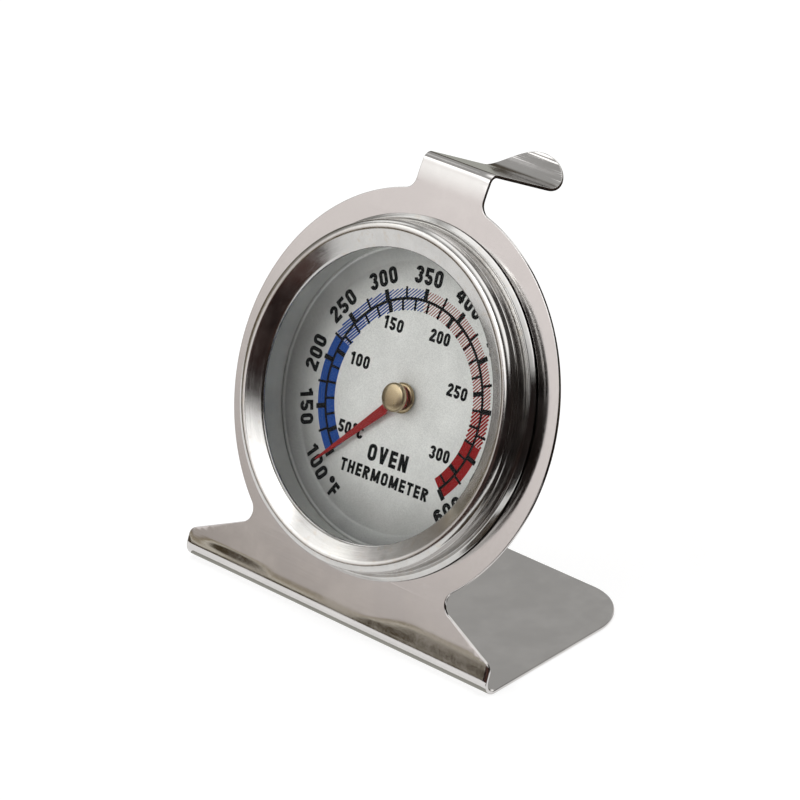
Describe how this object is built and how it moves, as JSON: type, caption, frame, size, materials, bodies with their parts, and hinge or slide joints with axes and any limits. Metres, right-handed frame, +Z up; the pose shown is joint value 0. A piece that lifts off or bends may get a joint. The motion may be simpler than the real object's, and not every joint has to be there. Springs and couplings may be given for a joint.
{
  "type": "oven thermometer",
  "caption": "Dial thermometer for an oven shelf: a round bimetal dial under glass in a leaning one-piece sheet stand with a flat foot and a hanging hook on top.",
  "frame": {"origin": "centre of the object's outline on the surface that the foot stands on", "axes": "+X to the right when facing the dial, +Y to the back, +Z up; the dial faces -Y and leans back by 25 degrees"},
  "size_m": [0.062, 0.0498, 0.0648],
  "materials": {
    "stand_steel": "polished stainless sheet",
    "case_steel": "drawn stainless sheet",
    "bezel_steel": "bright spun stainless",
    "lens_glass": "clear flat glass",
    "spacer_aluminium": "satin",
    "dial_white": "fine-grained silver white",
    "movement_steel": "plain turned and stamped steel",
    "movement_brass": "turned",
    "bimetal": "rolled strip",
    "pointer_red": "satin red",
    "hub_brass": "turned cap"
  },
  "bodies": {
    "thermometer": {"stand_bracket": "stand_steel", "rear_case": "case_steel", "bezel": "bezel_steel", "glass_lens": "lens_glass", "spacer_ring": "spacer_aluminium", "dial_plate": "dial_white", "movement_bridge": "movement_steel", "bridge_pillar_left": "movement_brass", "bridge_pillar_right": "movement_brass", "bridge_screw_left": "movement_steel", "bridge_screw_right": "movement_steel", "front_bush": "movement_brass", "rear_bush": "movement_brass", "coil_anchor_post": "movement_steel", "bimetal_coil": "bimetal"},
    "pointer_assembly": {"pointer": "pointer_red", "pointer_hub": "hub_brass", "pointer_shaft": "movement_steel", "shaft_clip": "movement_steel", "coil_collar": "movement_brass"}
  },
  "joints": [
    {"name": "pointer_turn", "type": "hinge", "parent": "thermometer", "child": "pointer_assembly", "pos_m": [0, -0.00967, 0.03275], "axis": [0, 0.9063, -0.4226], "range_deg": [0, 270], "deforming": ["bimetal_coil"]}
  ]
}
